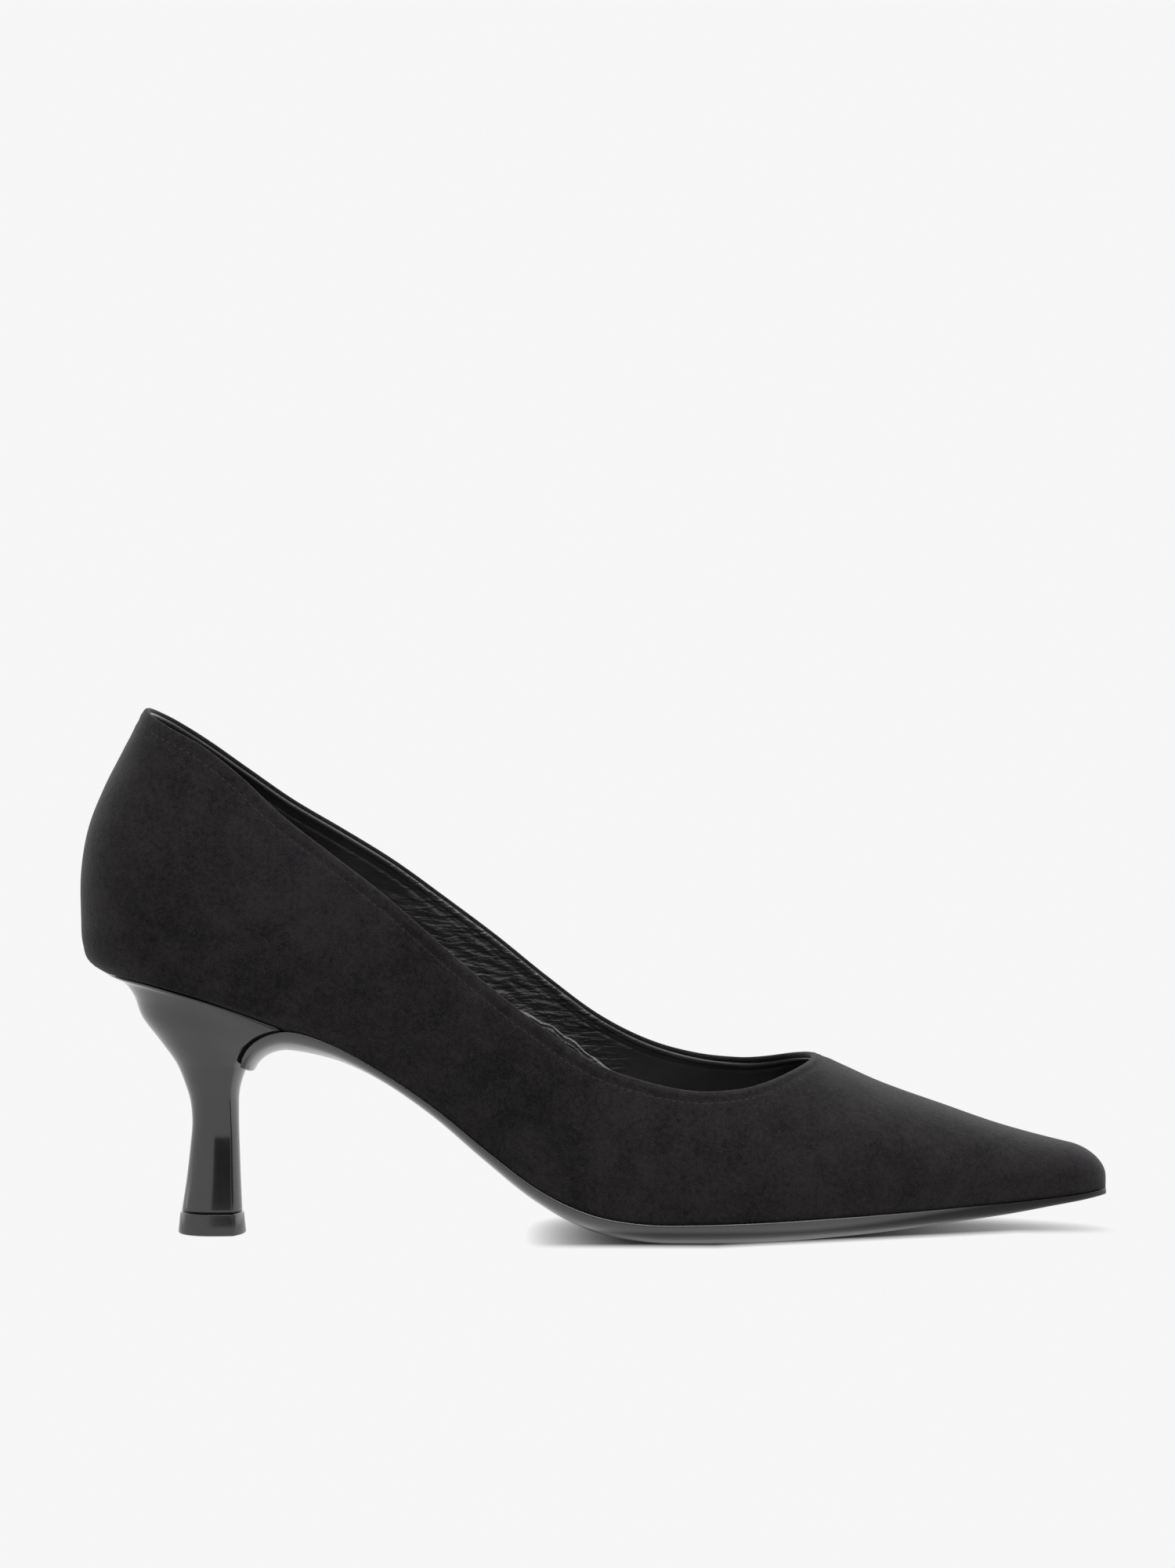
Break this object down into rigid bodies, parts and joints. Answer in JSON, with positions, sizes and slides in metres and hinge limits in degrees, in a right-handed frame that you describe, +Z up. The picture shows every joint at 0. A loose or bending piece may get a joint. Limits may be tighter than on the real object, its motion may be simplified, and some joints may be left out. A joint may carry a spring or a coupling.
{
  "type": "high heel shoe",
  "caption": "Right black suede court shoe with a pointed toe, low topline, flared gloss heel and a thin sole.",
  "frame": {"origin": "middle of the shoe's box in plan, on the floor that the heel's tip and the ball rest on", "axes": "+X from the heel to the toe, +Y to the inner side of the foot, +Z up"},
  "size_m": [0.2552, 0.0742, 0.1312],
  "materials": {
    "suede": "black napped suede",
    "lining_leather": "black smooth lining leather, satin",
    "sole": "black resin soling, satin",
    "heel_gloss": "black, high gloss",
    "top_piece": "black, matte"
  },
  "bodies": {
    "root": {"upper": "suede", "insole": "lining_leather", "outsole": "sole", "heel": "heel_gloss", "top_piece": "top_piece"}
  },
  "joints": []
}
